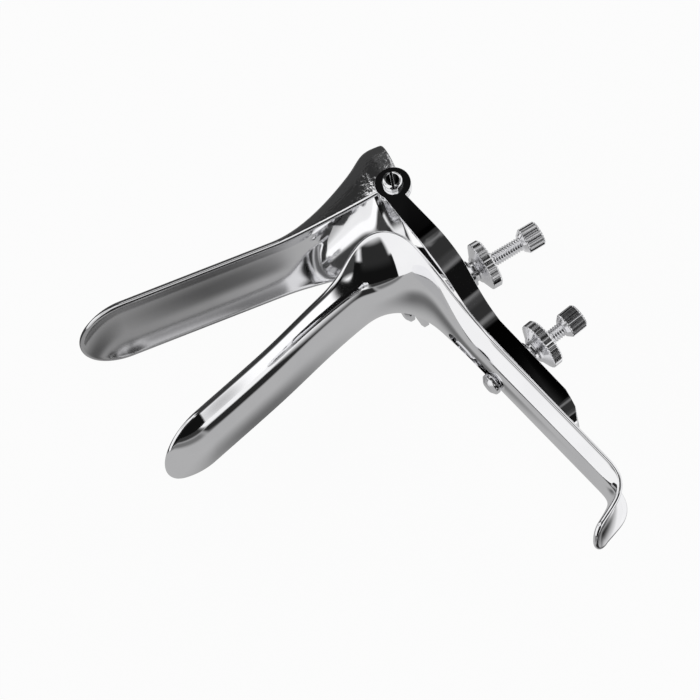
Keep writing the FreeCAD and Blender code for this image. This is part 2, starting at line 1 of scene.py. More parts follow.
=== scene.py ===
import math

import bmesh
import bpy
import numpy as np
from mathutils import Matrix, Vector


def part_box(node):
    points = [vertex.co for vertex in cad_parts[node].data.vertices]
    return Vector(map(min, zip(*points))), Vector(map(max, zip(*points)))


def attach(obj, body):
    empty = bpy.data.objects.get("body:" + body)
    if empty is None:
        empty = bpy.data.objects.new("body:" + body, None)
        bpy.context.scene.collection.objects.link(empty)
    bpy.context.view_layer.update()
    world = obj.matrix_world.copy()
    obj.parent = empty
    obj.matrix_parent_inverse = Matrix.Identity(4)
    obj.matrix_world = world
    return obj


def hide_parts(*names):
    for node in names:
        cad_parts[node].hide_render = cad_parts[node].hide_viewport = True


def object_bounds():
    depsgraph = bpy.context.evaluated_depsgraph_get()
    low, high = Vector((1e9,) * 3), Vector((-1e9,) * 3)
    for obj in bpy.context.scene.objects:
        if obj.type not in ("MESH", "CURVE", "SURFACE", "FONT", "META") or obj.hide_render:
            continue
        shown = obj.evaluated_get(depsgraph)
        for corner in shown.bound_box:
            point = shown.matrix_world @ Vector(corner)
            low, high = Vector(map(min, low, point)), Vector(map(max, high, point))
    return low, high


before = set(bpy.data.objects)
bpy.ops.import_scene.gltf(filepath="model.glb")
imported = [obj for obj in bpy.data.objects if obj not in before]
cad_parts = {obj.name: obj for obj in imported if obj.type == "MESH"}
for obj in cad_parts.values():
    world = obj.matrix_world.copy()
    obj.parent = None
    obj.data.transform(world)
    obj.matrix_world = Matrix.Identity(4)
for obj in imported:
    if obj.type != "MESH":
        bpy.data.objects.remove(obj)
cad_bounds = [list(corner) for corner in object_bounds()]

# The lower blade, its heel, the handle and its hooked foot are one sheet of stainless steel.
# It is pressed into a channel, bent at the heel, ground along its rims and buffed to a mirror.
# Sizes are in millimetres. Z runs along the hinge, the blades point to -X, the handle to -Y.
middle = (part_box("hinge_rivet_far")[0].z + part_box("hinge_screw_near")[1].z) * 500
sheet_wall = 1.6
blade_length = 100.0
blade_half_width = 17.0
blade_depth = 6.6
blade_middle = 0.6
tip_round = 15.0
tip_stretch = 0.93
tip_drop = 4.4
tip_lean = -3.4
middle_drop = 2.8
middle_lean = -3.5
seat_plane = 6.5
rim_relief = 0.15
lower_drop = 9.0
heel_lead = 9.0
heel_lead_drop = 0.4
heel_lead_lean = -2.0
heel_radius = 13.0
heel_half_width = 21.0
last_free_lean = 40
handle_front = 12.8
handle_half_width = 9.4
handle_length = 106.0
handle_lean = 90
neck_length = 20.0
neck_gap = 1.0
neck_taper = ((0, 0.72), (0.33, 0.42), (0.66, 0.14), (1, 0))
foot_radius = 5.0
foot_reach = 12.3
foot_round = 6.5
foot_turn = math.radians(68)
foot_narrowing = 0.95
foot_flattening = 0.45
foot_end_depth = 0.45
lock_drop = 57.0
slide_travel = 18.0
slot_half_width = 2.35
slot_roundness = 0.999
cutter_ahead = 2.0
cutter_behind = 3.0
ease_length = 5.0
merge_distance = 2e-7
crease_angle = math.radians(32)


def smooth_through(knots, values, at):
    """A smooth curve along the rows of values that never swings past them.

    The slope at a knot is the harmonic mean of the slopes beside it, or level where they
    differ in sign, and a cubic joins two knots. A bell-shaped running average over the
    ease length then takes out what is left of the jumps in bend.
    """
    gaps = np.diff(knots)[:, None]
    slopes = np.diff(values, axis=0) / gaps
    product = slopes[:-1] * slopes[1:]
    rising = product > 0
    mean = np.where(rising, 2 * product / np.where(rising, slopes[:-1] + slopes[1:], 1), 0)
    slope = np.concatenate([slopes[:1], mean, slopes[-1:]])
    piece = np.clip(np.searchsorted(knots, at, side="right") - 1, 0, len(knots) - 2)
    share = (at - knots[piece])[:, None] / gaps[piece]
    step = share * share * (3 - 2 * share)
    curve = values[piece] + (values[piece + 1] - values[piece]) * step
    leave = slope[piece] * share * (1 - share) ** 2
    arrive = slope[piece + 1] * share**2 * (1 - share)
    curve += gaps[piece] * (leave - arrive)
    half = int(ease_length / abs(at[1] - at[0]))
    bell = np.hanning(2 * half + 3)[1:-1]
    start = 2 * curve[:1] - curve[half:0:-1]
    end = 2 * curve[-1:] - curve[-2 : -half - 2 : -1]
    longer = np.concatenate([start, curve, end])
    return np.stack([np.convolve(column, bell / bell.sum(), "valid") for column in longer.T], axis=1)


def crescent(half_width, depth, thick, bowl=26, lip=8):
    """Half of a crescent: out along the outer arc, round the rim and back along the inner arc.

    The full outer arc has radius (w*w + d*d) / 2d. The sheet's middle keeps its place and
    thick gives the wall about it. There is one row for each station.
    """
    radius = (half_width**2 + depth**2) / (2 * depth)
    core = radius - sheet_wall / 2
    reach = np.arccos(np.clip((radius - depth + sheet_wall / 2) / core, -1, 1))
    angle = reach[:, None] * np.linspace(0, 1, bowl)
    outer = (core + thick / 2)[:, None]
    inner = (core - thick / 2)[:, None]
    centre = radius[:, None]
    turn = np.linspace(0, math.pi, lip + 2)[1:-1]
    sine = np.sin(reach)[:, None]
    cosine = np.cos(reach)[:, None]
    half = thick[:, None] / 2
    lip_side = core[:, None] * sine + half * (np.cos(turn) * sine + np.sin(turn) * cosine)
    lip_height = centre - core[:, None] * cosine - half * (np.cos(turn) * cosine - np.sin(turn) * sine)
    side = np.hstack([outer * np.sin(angle), lip_side, (inner * np.sin(angle))[:, ::-1]])
    outer_height = centre - outer * np.cos(angle)
    inner_height = centre - inner * np.cos(angle)
    return side, np.hstack([outer_height, lip_height, inner_height[:, ::-1]])


def channel(stations, front_round, back_round, steps=240, turns=60, edge=6):
    """A dished channel as a grid that follows its rim all the way round.

    A station is bottom x, bottom y, lean of the open side from +Y to +X in degrees, half
    width and depth. The track goes along one side, round the front end like a bowl and back
    along the other side. The back end is a bowl too, or where back_round is 0 a rounded edge.
    Each point is bottom + across * side + ahead * (side * stretch + push) + open side * height.
    """
    table = np.array(stations, float)
    chord = np.hypot(*np.diff(table[:, :2], axis=0).T)
    knots = np.concatenate([[0], np.cumsum(chord)])
    straight = smooth_through(knots, table, np.linspace(knots[-1], 0, steps))
    ahead = np.gradient(straight[:, :2], axis=0)
    ahead /= np.linalg.norm(ahead, axis=1)[:, None]
    bend = np.linspace(0, math.pi, turns)[1:-1]
    order = np.concatenate([np.arange(steps), np.full(turns - 2, steps - 1), np.arange(steps)[::-1]])
    across = np.concatenate([np.ones(steps), np.cos(bend), -np.ones(steps)])
    stretch = np.concatenate([np.zeros(steps), np.sin(bend) * front_round, np.zeros(steps)])
    if back_round:
        order = np.concatenate([order, np.zeros(turns - 2, int)])
        across = np.concatenate([across, -np.cos(bend)])
        stretch = np.concatenate([stretch, -np.sin(bend) * back_round])
        push = np.zeros(len(order))
        thick = np.full(len(order), sheet_wall)
    else:
        fade = np.linspace(math.pi / 2, 0, edge, endpoint=False)
        order = np.concatenate([np.zeros(edge, int), order, np.zeros(edge, int)])
        across = np.concatenate([np.ones(edge), across, -np.ones(edge)])
        stretch = np.concatenate([np.zeros(edge), stretch, np.zeros(edge)])
        push = np.zeros(len(order))
        push[:edge] = -np.sin(fade) * sheet_wall / 2
        push[-edge:] = push[:edge][::-1]
        thick = np.full(len(order), sheet_wall)
        thick[:edge] = np.cos(fade) * sheet_wall
        thick[-edge:] = thick[:edge][::-1]
    rows = straight[order]
    heading = ahead[order]
    side, height = crescent(rows[:, 3], rows[:, 4], thick)
    lean = np.radians(rows[:, 2])[:, None]
    along = side * stretch[:, None] + push[:, None]
    x = rows[:, 0:1] + heading[:, 0:1] * along + np.sin(lean) * height
    y = rows[:, 1:2] + heading[:, 1:2] * along + np.cos(lean) * height
    z = middle + side * across[:, None]
    return np.stack([x, y, z], axis=2)


def close_up(mesh):
    """Points that coincide become one, open ends are covered, and every face turns outwards."""
    work = bmesh.new()
    work.from_mesh(mesh)
    bmesh.ops.remove_doubles(work, verts=work.verts, dist=merge_distance)
    bmesh.ops.holes_fill(work, edges=[edge for edge in work.edges if edge.is_boundary], sides=0)
    bmesh.ops.recalc_face_normals(work, faces=work.faces)
    work.to_mesh(mesh)
    work.free()


def mesh_of(name, grids):
    """One closed mesh from grids of points in millimetres: (points, rows joined, columns joined)."""
    corners = []
    faces = []
    count = 0
    for points, ring_rows, ring_columns in grids:
        rows, columns = points.shape[:2]
        number = count + np.arange(rows * columns).reshape(rows, columns)
        down = np.roll(number, -1, axis=0)
        right = np.roll(number, -1, axis=1)
        both = np.roll(down, -1, axis=1)
        quads = np.stack([number, right, both, down], axis=2)
        quads = quads[: rows if ring_rows else rows - 1, : columns if ring_columns else columns - 1]
        corners.append(points.reshape(-1, 3) / 1000)
        faces.append(quads.reshape(-1, 4))
        count += rows * columns
    mesh = bpy.data.meshes.new(name)
    mesh.from_pydata(np.concatenate(corners).tolist(), [], np.concatenate(faces).tolist())
    close_up(mesh)
    return mesh


def add_piece(name, mesh, material):
    """One finished piece, smooth but for edges sharper than the crease angle."""
    piece = bpy.data.objects.new(name, mesh)
    bpy.context.scene.collection.objects.link(piece)
    mesh.materials.clear()
    mesh.materials.append(material)
    mesh.shade_smooth()
    mesh.set_sharp_from_angle(angle=crease_angle)
    return piece


def fillet_path(corners, radius, steps=6):
    """A closed outline whose corners are arcs: each arc ends where the sides leave the circle."""
    here = np.array(corners, float)
    before = np.roll(here, 1, axis=0) - here
    after = np.roll(here, -1, axis=0) - here
    before /= np.linalg.norm(before, axis=1)[:, None]
    after /= np.linalg.norm(after, axis=1)[:, None]
    half = np.arccos(np.clip((before * after).sum(1), -1, 1)) / 2
    bisector = before + after
    bisector /= np.linalg.norm(bisector, axis=1)[:, None]
    centre = here + bisector * (radius / np.sin(half))[:, None]
    start = here + before * (radius / np.tan(half))[:, None] - centre
    end = here + after * (radius / np.tan(half))[:, None] - centre
    sweep = np.arctan2(start[:, 0] * end[:, 1] - start[:, 1] * end[:, 0], (start * end).sum(1))
    angle = sweep[:, None] * np.linspace(0, 1, steps)
    x = centre[:, :1] + start[:, :1] * np.cos(angle) - start[:, 1:] * np.sin(angle)
    y = centre[:, 1:] + start[:, :1] * np.sin(angle) + start[:, 1:] * np.cos(angle)
    return np.stack([x.ravel(), y.ravel()], axis=1)


def feed(tree, socket, value):
    """A socket takes a plain value, or is linked to what another node puts out."""
    if isinstance(value, bpy.types.NodeSocket):
        tree.links.new(value, socket)
    else:
        socket.default_value = value


def worked_out(tree, operation, *values):
    """What a Math node makes of numbers or of what other nodes put out."""
    node = tree.nodes.new("ShaderNodeMath")
    node.operation = operation
    for socket, value in zip(node.inputs, values):
        feed(tree, socket, value)
    return node.outputs[0]


def mixed(tree, kind, share, first, second, blend="MIX"):
    """The first where the share is 0, and the second or its blend with the first where it is 1."""
    node = tree.nodes.new("ShaderNodeMix")
    node.data_type = kind
    node.blend_type = blend
    for name, value in (("Factor", share), ("A", first), ("B", second)):
        feed(tree, node.inputs[name], value)
    return node.outputs["Result"]


def noise(tree, place, scale, detail):
    """Cloudy noise between 0 and 1, with the scale in clouds per metre."""
    node = tree.nodes.new("ShaderNodeTexNoise")
    node.inputs["Scale"].default_value = scale
    node.inputs["Detail"].default_value = detail
    tree.links.new(place, node.inputs["Vector"])
    return node.outputs["Fac"]


def painted(tree, name):
    """The value that the piece's points carry under this name."""
    node = tree.nodes.new("ShaderNodeAttribute")
    node.attribute_name = name
    return node.outputs["Fac"]


def bumped(tree, height, metres, strength):
    """A Bump node that tilts the surface by the slope of height * metres, times its strength."""
    node = tree.nodes.new("ShaderNodeBump")
    node.inputs["Distance"].default_value = metres
    tree.links.new(strength, node.inputs["Strength"])
    tree.links.new(height, node.inputs["Height"])
    return node


haze_scale = 90
line_scale = (300, 4200, 4200)
line_height = 0.00002
dapple_scale = 700
dapple_height = 0.0004
satin_roughness = 0.12
haze_tint = (0.9, 0.9, 0.91, 1)
# The satin tint is painted shade: it darkens the colour in the blade's hollow.
hollow_shade_tint = (0.36, 0.355, 0.35, 1)


def buffing_group():
    """Fine buffing lines and a cloudy haze, put out as colour, roughness and normal.

    Ripple dapples the metal where the piece's "dapple" value is 1, and where its "hollow"
    value is 1 the last input makes it rougher and darkens its colour with painted shade.
    """
    group = bpy.data.node_groups.new("buffed_steel", "ShaderNodeTree")
    for name, kind, value in (
        ("Tone", "NodeSocketColor", (0.8, 0.8, 0.8, 1)),
        ("Haze", "NodeSocketFloat", 0.1),
        ("Lines", "NodeSocketFloat", 0.03),
        ("Ripple", "NodeSocketFloat", 0.0),
        ("Satin and shade", "NodeSocketFloat", 0.0),
    ):
        group.interface.new_socket(name, in_out="INPUT", socket_type=kind).default_value = value
    for name, kind in (
        ("Colour", "NodeSocketColor"),
        ("Roughness", "NodeSocketFloat"),
        ("Normal", "NodeSocketVector"),
    ):
        group.interface.new_socket(name, in_out="OUTPUT", socket_type=kind)
    entry = group.nodes.new("NodeGroupInput").outputs
    leave = group.nodes.new("NodeGroupOutput").inputs
    place = group.nodes.new("ShaderNodeTexCoord").outputs["Object"]
    drawn = group.nodes.new("ShaderNodeMapping")
    drawn.inputs["Scale"].default_value = line_scale
    group.links.new(place, drawn.inputs["Vector"])
    cloud = noise(group, place, haze_scale, detail=4)
    hair = noise(group, drawn.outputs[0], 1, detail=2)
    swell = noise(group, place, dapple_scale, detail=3)
    satin_and_shade = worked_out(group, "MULTIPLY", entry["Satin and shade"], painted(group, "hollow"))
    hazy = worked_out(group, "MULTIPLY", cloud, entry["Haze"])
    lined = worked_out(group, "MULTIPLY_ADD", hair, entry["Lines"], hazy)
    rougher = worked_out(group, "MULTIPLY_ADD", satin_and_shade, satin_roughness, lined)
    worn = mixed(group, "RGBA", cloud, entry["Tone"], haze_tint, "MULTIPLY")
    # Painted shade: the colour is darkened where the hollow value is 1.
    shaded_hollow = mixed(group, "RGBA", satin_and_shade, worn, hollow_shade_tint, "MULTIPLY")
    rippled = worked_out(group, "MULTIPLY", entry["Ripple"], painted(group, "dapple"))
    wave = bumped(group, swell, dapple_height, rippled)
    scratch = bumped(group, hair, line_height, entry["Lines"])
    group.links.new(wave.outputs["Normal"], scratch.inputs["Normal"])
    group.links.new(shaded_hollow, leave["Colour"])
    group.links.new(rougher, leave["Roughness"])
    group.links.new(scratch.outputs["Normal"], leave["Normal"])
    return group


buffed_steel = buffing_group()


def steel(name, tone, haze, lines, ripple=0.0, satin_and_shade=0.0):
    """Bare metal with its own share of haze, buffing lines, ripple, and a rougher hollow darkened with
    painted shade.
    """
    material = bpy.data.materials.new(name)
    material.use_nodes = True
    tree = material.node_tree
    shader = tree.nodes["Principled BSDF"]
    shader.inputs["Metallic"].default_value = 1
    finish = tree.nodes.new("ShaderNodeGroup")
    finish.node_tree = buffed_steel
    for socket, value in zip(finish.inputs, ((*tone, 1), haze, lines, ripple, satin_and_shade)):
        socket.default_value = value
    for source, target in (("Colour", "Base Color"), ("Roughness", "Roughness"), ("Normal", "Normal")):
        tree.links.new(finish.outputs[source], shader.inputs[target])
    return material


mirror_steel = steel("mirror_steel", (0.97, 0.97, 0.98), haze=0.05, lines=0.03)
heel_x = -handle_front - heel_radius
heel_y = -lower_drop - blade_depth - heel_radius
blade_floor = heel_y + heel_radius
lead_half_width = blade_half_width * 1.01
lead_depth = blade_depth * 1.05
lower_stations = [
    (-blade_length + tip_round, blade_floor - tip_drop, tip_lean, blade_half_width, blade_depth),
    (-blade_length * blade_middle, blade_floor - middle_drop, middle_lean, blade_half_width, blade_depth),
    (heel_x - heel_lead, blade_floor - heel_lead_drop, heel_lead_lean, lead_half_width, lead_depth),
]

# Round the bend the rims rise from the blade, and past the last free lean they stand just
# short of the plane on which the yoke slides.
heel_leans = np.arange(0, 71, 10)
heel_shares = np.interp(heel_leans, (0, 30, 50, 60, 70), (0.88, 0.96, 1.0, 0.99, 0.97))
heel_depths = np.interp(heel_leans, (0, 10, 20, 30, 40), (1.25, 1.5, 1.88, 2.2, 2.05)) * blade_depth
for lean, share, deep in zip(heel_leans, heel_shares, heel_depths):
    turn = math.radians(lean)
    x = heel_x + heel_radius * math.sin(turn)
    y = heel_y + heel_radius * math.cos(turn)
    rise = deep if lean <= last_free_lean else (-seat_plane - rim_relief - x) / math.sin(turn)
    lower_stations.append((x, y, lean, heel_half_width * share, rise))

# The neck narrows to the handle, and the handle's end turns forwards into the flatter foot.
handle_depth = handle_front - seat_plane
neck_top = heel_y - neck_gap
for share, wide in neck_taper:
    half = handle_half_width + (heel_half_width - handle_half_width) * wide
    lower_stations.append((-handle_front, neck_top - neck_length * share, handle_lean, half, handle_depth))
for y in ((neck_top - neck_length - handle_length) / 2, -handle_length):
    lower_stations.append((-handle_front, y, handle_lean, handle_half_width, handle_depth))
for share in (0.5, 1.0):
    turn = foot_turn * share
    x = -handle_front - foot_radius * (1 - math.cos(turn))
    y = -handle_length - foot_radius * math.sin(turn)
    shallow = handle_depth * (1 - foot_flattening * share)
    lower_stations.append((x, y, handle_lean + math.degrees(turn), handle_half_width, shallow))
run = foot_reach - foot_round
x -= run * math.sin(foot_turn)
y -= run * math.cos(foot_turn)
foot_lean = handle_lean + math.degrees(foot_turn)
foot_half_width = handle_half_width * foot_narrowing
lower_stations.append((x, y, foot_lean, foot_half_width, handle_depth * foot_end_depth))
lower_grid = channel(lower_stations, tip_stretch, foot_round / foot_half_width, steps=300)
lower_blade = add_piece("lower_blade", mesh_of("lower_blade", [(lower_grid, True, False)]), mirror_steel)

# The slot for the lock screw is cut through the handle.
slot_top = -lock_drop + slide_travel + slot_half_width
slot_low = -lock_drop - slot_half_width
slot_corners = [
    (slot_low, middle - slot_half_width), (slot_top, middle - slot_half_width),
    (slot_top, middle + slot_half_width), (slot_low, middle + slot_half_width),
]
slot_outline = fillet_path(slot_corners, slot_half_width * slot_roundness, steps=12)
slot_grid = np.empty((2, len(slot_outline), 3))
slot_grid[0, :, 0] = -handle_front - cutter_ahead
slot_grid[1, :, 0] = -handle_front + cutter_behind
slot_grid[..., 1:] = slot_outline
slot_cutter = add_piece("slot_cutter", mesh_of("slot_cutter", [(slot_grid, False, True)]), mirror_steel)
cut = lower_blade.modifiers.new("lock_slot", "BOOLEAN")
cut.object = slot_cutter
cut.operation = "DIFFERENCE"
bpy.context.view_layer.update()
finished = lower_blade.evaluated_get(bpy.context.evaluated_depsgraph_get())
slotted = bpy.data.meshes.new_from_object(finished)
lower_blade.modifiers.clear()
lower_blade.data = slotted
slotted.set_sharp_from_angle(angle=crease_angle)
bpy.data.objects.remove(slot_cutter)
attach(lower_blade, "handle_side")
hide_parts("lower_blade_and_handle")

# The upper blade is pressed like the lower one, but flares into a deep crown at the back.
# Two round ears carry the hinge, and a lever runs back from the far ear to a turned-out tab.
blade_angle = math.radians(18.5)
upper_lean = 180
upper_reach = blade_length - 1.0
crown_depth = 23.2
crown_length = 36.0
crown_flare = 1.5
crown_back = 2.0
crown_overhang = 3.0
ear_span = 23.4
ear_radius = 5.2
hinge_hole_radius = 2.05
pivot_reach = 5.6
pivot_drop = 8.5
opening_tilt = math.radians(8)
opening_offset = 31.0
lever_reach = 15.6
lever_corner = 0.5
lever_root_front = 1.5
lever_root_drop = 3.5
lever_root_back = 2.5
lever_root_rise = 4.0
tab_half_width = 5.5
tab_end = 6.0
tab_corner = 2.0
tab_hole_radius = 2.6
tab_hole_rise = 1.4
dapple_fade = 6.0
mask_sharpness = 4
upper_stations = [
    (-upper_reach + tip_round, blade_depth, upper_lean, blade_half_width, blade_depth),
    (-blade_length * blade_middle, blade_depth, upper_lean, blade_half_width, blade_depth),
]
for share in np.linspace(0, 1, 7):
    ease = share**crown_flare
    deep = blade_depth + (crown_depth - blade_depth) * ease
    half = blade_half_width + (ear_span - blade_half_width) * ease
    x = -crown_length + (crown_length - crown_back) * share
    upper_stations.append((x, deep, upper_lean, half, deep))
upper_stations.append((crown_overhang - sheet_wall / 2, crown_depth, upper_lean, ear_span, crown_depth))
upper_grid = channel(upper_stations, tip_stretch, back_round=0)


def turned(points, angle):
    """The points turned about the hinge."""
    x = points[..., 0] * math.cos(angle) - points[..., 1] * math.sin(angle)
    y = points[..., 0] * math.sin(angle) + points[..., 1] * math.cos(angle)
    return np.stack([x, y, points[..., 2]], axis=-1)


def plate(outline, thick, origin, across, upward, edge=0.4, hole=None, steps=5, border=1.3):
    """A flat plate with rounded edges, as a grid that goes over its edge from face to face.

    Each row is the outline moved inwards along its own normal, while the height climbs a
    quarter circle, stays level over the face, and does the same on the other side. A row at
    border * edge keeps the faces flat up to the rounding.
    """
    ahead = np.roll(outline, -1, axis=0) - np.roll(outline, 1, axis=0)
    ahead /= np.linalg.norm(ahead, axis=1)[:, None]
    inward = np.stack([-ahead[:, 1], ahead[:, 0]], axis=1)
    turn = np.linspace(0, math.pi / 2, steps)
    inset = np.concatenate([[edge * border], edge * (1 - np.sin(turn))])
    climb = np.concatenate([[0], edge * (1 - np.cos(turn))])
    inset = np.concatenate([inset, inset[::-1]])
    height = np.concatenate([climb, thick - climb[::-1]])
    rows = outline + inward * inset[:, None, None]
    inner = outline.mean(axis=0) if hole is None else hole
    rows = np.concatenate([rows, np.broadcast_to(inner, (2,) + outline.shape)])
    height = np.concatenate([height, [thick, 0.0]])[:, None, None]
    normal = np.cross(across, upward)
    return origin + rows[..., :1] * across + rows[..., 1:] * upward + height * normal


def ring_of(points, radius, stretch=0.0):
    """A round or oblong hole whose points lie at the same angles as the outline's points."""
    angle = np.arctan2(points[:, 1], points[:, 0])
    x = radius * np.cos(angle) + stretch * np.sign(np.cos(angle))
    return np.stack([x, radius * np.sin(angle)], axis=1)


def paint(piece, name, values):
    """One value for each of the piece's points, which its material reads under this name."""
    piece.data.attributes.new(name, "FLOAT", "POINT").data.foreach_set("value", values)


x_way = np.array([1.0, 0, 0])
y_way = np.array([0, 1.0, 0])
z_way = np.array([0, 0, 1.0])
round_angle = np.linspace(0, 2 * math.pi, 96, endpoint=False)
ear_outline = ear_radius * np.stack([np.cos(round_angle), np.sin(round_angle)], axis=1)
hinge_hole = ring_of(ear_outline, hinge_hole_radius)
near_side = (middle + ear_span - sheet_wall) * z_way
far_side = (middle - ear_span) * z_way
near_ear = plate(ear_outline, sheet_wall, near_side, x_way, y_way, hole=hinge_hole)
far_ear = plate(ear_outline, sheet_wall, far_side, x_way, y_way, hole=hinge_hole)

# The lever's end and its tab stand square to the opening screw, which tilts at rest.
rest_axis = np.array([math.cos(opening_tilt), -math.sin(opening_tilt), 0])
tab_side = np.cross(z_way, rest_axis)
tab_drop = pivot_drop + lever_reach * math.tan(opening_tilt)
tab_place = np.array([lever_reach - pivot_reach, -tab_drop, middle])
lever_start = tab_place - rest_axis * sheet_wall / 2
lever_end = tab_place + rest_axis * sheet_wall / 2
lever_corners = np.array([
    turned(np.array([-lever_root_front, -lever_root_drop, 0]), -blade_angle),
    lever_start - tab_side * tab_half_width,
    lever_end - tab_side * tab_half_width,
    lever_end + tab_side * tab_half_width,
    turned(np.array([lever_root_back, lever_root_rise, 0]), -blade_angle),
])[:, :2]
lever_plate = plate(fillet_path(lever_corners, lever_corner), sheet_wall, far_side, x_way, y_way)
tab_top = opening_offset - ear_span + sheet_wall
tab_corners = [
    (-tab_half_width, tab_top), (-tab_half_width, -tab_end),
    (tab_half_width, -tab_end), (tab_half_width, tab_top),
]
tab_outline = fillet_path(tab_corners, tab_corner)
tab_hole = ring_of(tab_outline, tab_hole_radius, tab_hole_rise)
tab_start = lever_start - z_way * opening_offset
tab_plate = plate(tab_outline, sheet_wall, tab_start, tab_side, z_way, hole=tab_hole)
upper_grids = [
    (turned(upper_grid, -blade_angle), False, False),
    (near_ear, True, True), (far_ear, True, True),
    (lever_plate, True, True), (tab_plate, True, True),
]
brushed_steel = steel("brushed_steel", (0.95, 0.95, 0.96), haze=0.08, lines=0.06, ripple=0.6, satin_and_shade=0.6)
upper_blade = add_piece("upper_blade_steel", mesh_of("upper_blade_steel", upper_grids), brushed_steel)

# The crown's outside is dappled, and the hollow of the blade in front of it is satin, its colour darkened
# with painted shade.
upper_points = np.empty(len(upper_blade.data.vertices) * 3, "f")
upper_normals = np.empty(len(upper_points), "f")
upper_blade.data.vertices.foreach_get("co", upper_points)
upper_blade.data.vertices.foreach_get("normal", upper_normals)
length_place = upper_points[0::3] * 1000
outward = upper_normals[1::3] * mask_sharpness
in_crown = np.clip((length_place + crown_length) / dapple_fade, 0, 1)
in_blade = np.clip(-(length_place + crown_length * 0.5) / crown_length, 0, 1)
paint(upper_blade, "dapple", in_crown * np.clip(outward, 0, 1))
paint(upper_blade, "hollow", in_blade * np.clip(-outward, 0, 1))
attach(upper_blade, "upper_side")
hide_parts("upper_blade")

# The yoke is a drawn steel frame with its edges eased. Its arms carry the hinge screws,
# and its tongue slides on the handle. The hinge screw's slotted head is turned from bar.
corner_distance = 1e-6
flat_angle = math.radians(1)
edge_angle = math.radians(35)
edge_steps = 4


def eased_copy(name, node, width, material, body):
    """A CAD node's surface with merged corners and its edges rounded off by a bevel."""
    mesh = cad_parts[node].data.copy()
    work = bmesh.new()
    work.from_mesh(mesh)
    bmesh.ops.remove_doubles(work, verts=work.verts, dist=corner_distance)
    bmesh.ops.dissolve_limit(work, angle_limit=flat_angle, verts=work.verts, edges=work.edges)
    bmesh.ops.recalc_face_normals(work, faces=work.faces)
    work.to_mesh(mesh)
    work.free()
    piece = add_piece(name, mesh, material)
    bevel = piece.modifiers.new("eased_edges", "BEVEL")
    bevel.width = width / 1000
    bevel.segments = edge_steps
    bevel.limit_method = "ANGLE"
    bevel.angle_limit = edge_angle
    bevel.harden_normals = True
    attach(piece, body)
    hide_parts(node)


eased_copy("yoke_frame", "yoke", 0.45, mirror_steel, "yoke_side")
eased_copy("hinge_screw", "hinge_screw_near", 0.12, mirror_steel, "yoke_side")
eased_copy("hinge_rivet", "hinge_rivet_far", 0.12, mirror_steel, "yoke_side")

# Two thumb screws set the instrument: a threaded rod, a collar, a knurled nut that runs on
# the rod, and a knurled cap that keeps it on. All are turned from bar and plated bright.
# An outline to be turned is a list of places along the screw, each with its radius.
screw_radius = 2.15
nut_bore = 2.2
thread_pitch = 0.8
thread_depth = 0.38
thread_rows = 12
thread_columns = 64
rod_in_head = 0.5
rod_in_cap = 4.0
head_outline = [(-2.4, 1.9), (-1.4, 3.3), (0, 3.3)]
head_round = 0.4
collar_outline = [(0, 3.9), (1.5, 4.1), (1.9, 3.1), (2.9, 3.1)]
collar_round = 0.15
collar_to_nut = 2.95
nut_outline = [(0, 3.9), (0.5, 4.4), (1.9, 7.4), (4.5, 7.4), (5.0, 6.8)]
cap_outline = [(0, 2.7), (1.3, 3.85), (6.0, 3.85), (6.5, 3.4)]
knurled_round = 0.2
nut_teeth = 40
cap_teeth = 26
tooth_columns = 12
knurl_spacing = 0.08
knurl_fade = 0.3
tongue_back = 1.2
lock_collar_gap = 0.1
lock_head_gap = 0.2
lock_cap_place = 12.4
lever_gap = 0.7
swing_clearance = 1.25
opening_cap_place = 35.5
plated_steel = steel("plated_steel", (0.93, 0.93, 0.94), haze=0.22, lines=0.06)


def turned_piece(base, axis, along, reach, columns=96, cut=0.0):
    """A turned form: radius reach at each distance along, less the cut at each angle."""
    angle = np.linspace(0, 2 * math.pi, columns, endpoint=False)
    first = np.cross(axis, z_way)
    first /= np.linalg.norm(first)
    second = np.cross(axis, first)
    radius = np.maximum(np.asarray(reach)[:, None] - cut, 0)
    radius = np.broadcast_to(radius, (len(along), columns))
    spoke = np.cos(angle)[:, None] * first + np.sin(angle)[:, None] * second
    return base + np.asarray(along)[:, None, None] * axis + radius[..., None] * spoke


def turning_profile(corners, radius, bore=0.0, fine=None, steps=5):
    """The distances and radii of a turned outline, with its corners rounded.

    The outline closes along the bore, or on the axis where the bore is 0. Where fine is
    given, its places stand no further apart than that.
    """
    path = np.array(corners, float)
    closed = np.concatenate([path, [(path[-1, 0], bore - 1.0), (path[0, 0], bore - 1.0)]])
    outline = fillet_path(closed, radius, steps)[: len(path) * steps]
    if fine:
        spans = np.linalg.norm(np.diff(outline, axis=0), axis=1)
        reach = np.concatenate([[0], np.cumsum(spans)])
        even = np.union1d(reach, np.arange(0, reach[-1], fine))
        outline = np.stack([np.interp(even, reach, outline[:, i]) for i in (0, 1)], axis=1)
    along = np.concatenate([outline[:1, 0], outline[:, 0], outline[-1:, 0]])
    around = np.concatenate([[bore], outline[:, 1], [bore]])
    return along, around


def grooves(phase, depth):
    """V-shaped grooves: the full depth at each whole number of the phase, none halfway between."""
    return depth * np.abs((phase % 1) * 2 - 1)


def knurl(along, teeth, low, high, depth):
    """Straight knurling: one groove for each tooth round, fading out at the low and high ends."""
    phase = np.linspace(0, teeth, teeth * tooth_columns, endpoint=False)
    fade = np.clip((along - low) / knurl_fade, 0, 1) * np.clip((high - along) / knurl_fade, 0, 1)
    return fade[:, None] * grooves(phase, depth)


